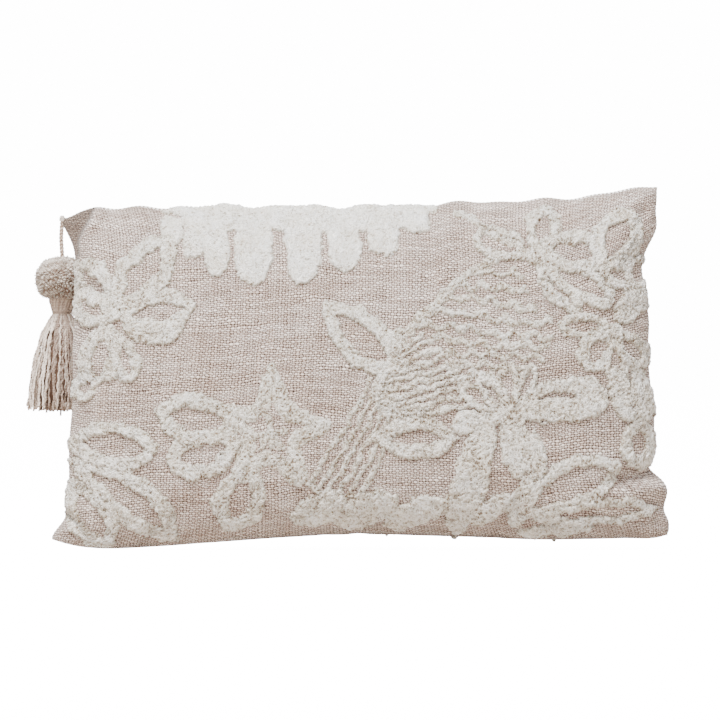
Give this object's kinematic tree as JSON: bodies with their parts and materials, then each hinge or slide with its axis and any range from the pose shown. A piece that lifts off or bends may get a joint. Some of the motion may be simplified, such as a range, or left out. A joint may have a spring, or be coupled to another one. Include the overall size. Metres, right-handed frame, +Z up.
{
  "type": "lumbar throw pillow",
  "caption": "Rectangular lumbar throw pillow with raised tufted flowers, leaves and a bird on a woven cover, a zip on the back and a hanging yarn tassel.",
  "frame": {"origin": "centre of the footprint at floor level, without the hanging tassel", "axes": "+X along the long edge to the right seen from the tufted front, +Y towards the zipped back, +Z up; the pillow stands on its long bottom edge and leans back"},
  "size_m": [0.574, 0.1504, 0.323],
  "materials": {
    "woven_cover": "matte",
    "tufted_yarn": "matte",
    "tassel_yarn": "matte",
    "zip_tape": "matte",
    "zip_coil": "satin",
    "zip_metal": "satin",
    "sewing_thread": "matte",
    "insert_cloth": "matte",
    "fibre_fill": "matte"
  },
  "bodies": {
    "cover": {"front_panel": "woven_cover", "back_panel_upper": "woven_cover", "back_panel_lower": "woven_cover", "star_flower_upper_left": "tufted_yarn", "petal_row_top": "tufted_yarn", "leaf_pair_centre": "tufted_yarn", "bird_body": "tufted_yarn", "bird_feathers": "tufted_yarn", "bird_tail_strands": "tufted_yarn", "almond_leaf_centre": "tufted_yarn", "star_flower_centre": "tufted_yarn", "leaf_spray_lower_left": "tufted_yarn", "stem_flower": "tufted_yarn", "stem": "tufted_yarn", "flower_top_right": "tufted_yarn", "flower_right": "tufted_yarn", "edge_leaves_right": "tufted_yarn", "leaves_bottom_centre": "tufted_yarn", "leaves_bottom_right": "tufted_yarn", "zip_tape_upper": "zip_tape", "zip_tape_lower": "zip_tape", "zip_coil_upper": "zip_coil", "zip_coil_lower": "zip_coil", "zip_top_stops": "zip_metal", "zip_bottom_stop": "zip_metal", "zip_topstitch_upper": "sewing_thread", "zip_topstitch_lower": "sewing_thread", "insert_front_panel": "insert_cloth", "insert_back_panel": "insert_cloth", "insert_fibre_fill": "fibre_fill", "ear_bar_tack": "tassel_yarn"},
    "zip_slider": {"zip_slider": "zip_metal"},
    "zip_pull": {"zip_pull_tab": "zip_metal"},
    "tassel_cord": {"tassel_cord": "tassel_yarn"},
    "tassel": {"pompom": "tassel_yarn", "neck_binding": "tassel_yarn"},
    "tassel_skirt": {"skirt": "tassel_yarn"}
  },
  "joints": [
    {"name": "zip_travel", "type": "hinge", "parent": "cover", "child": "zip_slider", "pos_m": [0, -1.3982, 0.054], "axis": [0, 0, 1], "range_deg": [0, 13.28]},
    {"name": "zip_pull_swing", "type": "hinge", "parent": "zip_slider", "child": "zip_pull", "pos_m": [0.16785, 0.04658, 0.05304], "axis": [0.9933, -0.1156, 0], "range_deg": [0, 150]},
    {"name": "cord_swing", "type": "hinge", "parent": "cover", "child": "tassel_cord", "pos_m": [-0.2705, 0.0558, 0.2898], "axis": [0, 1, 0], "range_deg": [0, 60]},
    {"name": "tassel_swing_back", "type": "hinge", "parent": "tassel_cord", "child": "tassel", "pos_m": [-0.2705, 0.0558, 0.262], "axis": [1, 0, 0], "range_deg": [0, 45]},
    {"name": "skirt_swing", "type": "hinge", "parent": "tassel", "child": "tassel_skirt", "pos_m": [-0.2705, 0.0558, 0.20224], "axis": [0, 1, 0], "range_deg": [0, 30]}
  ]
}
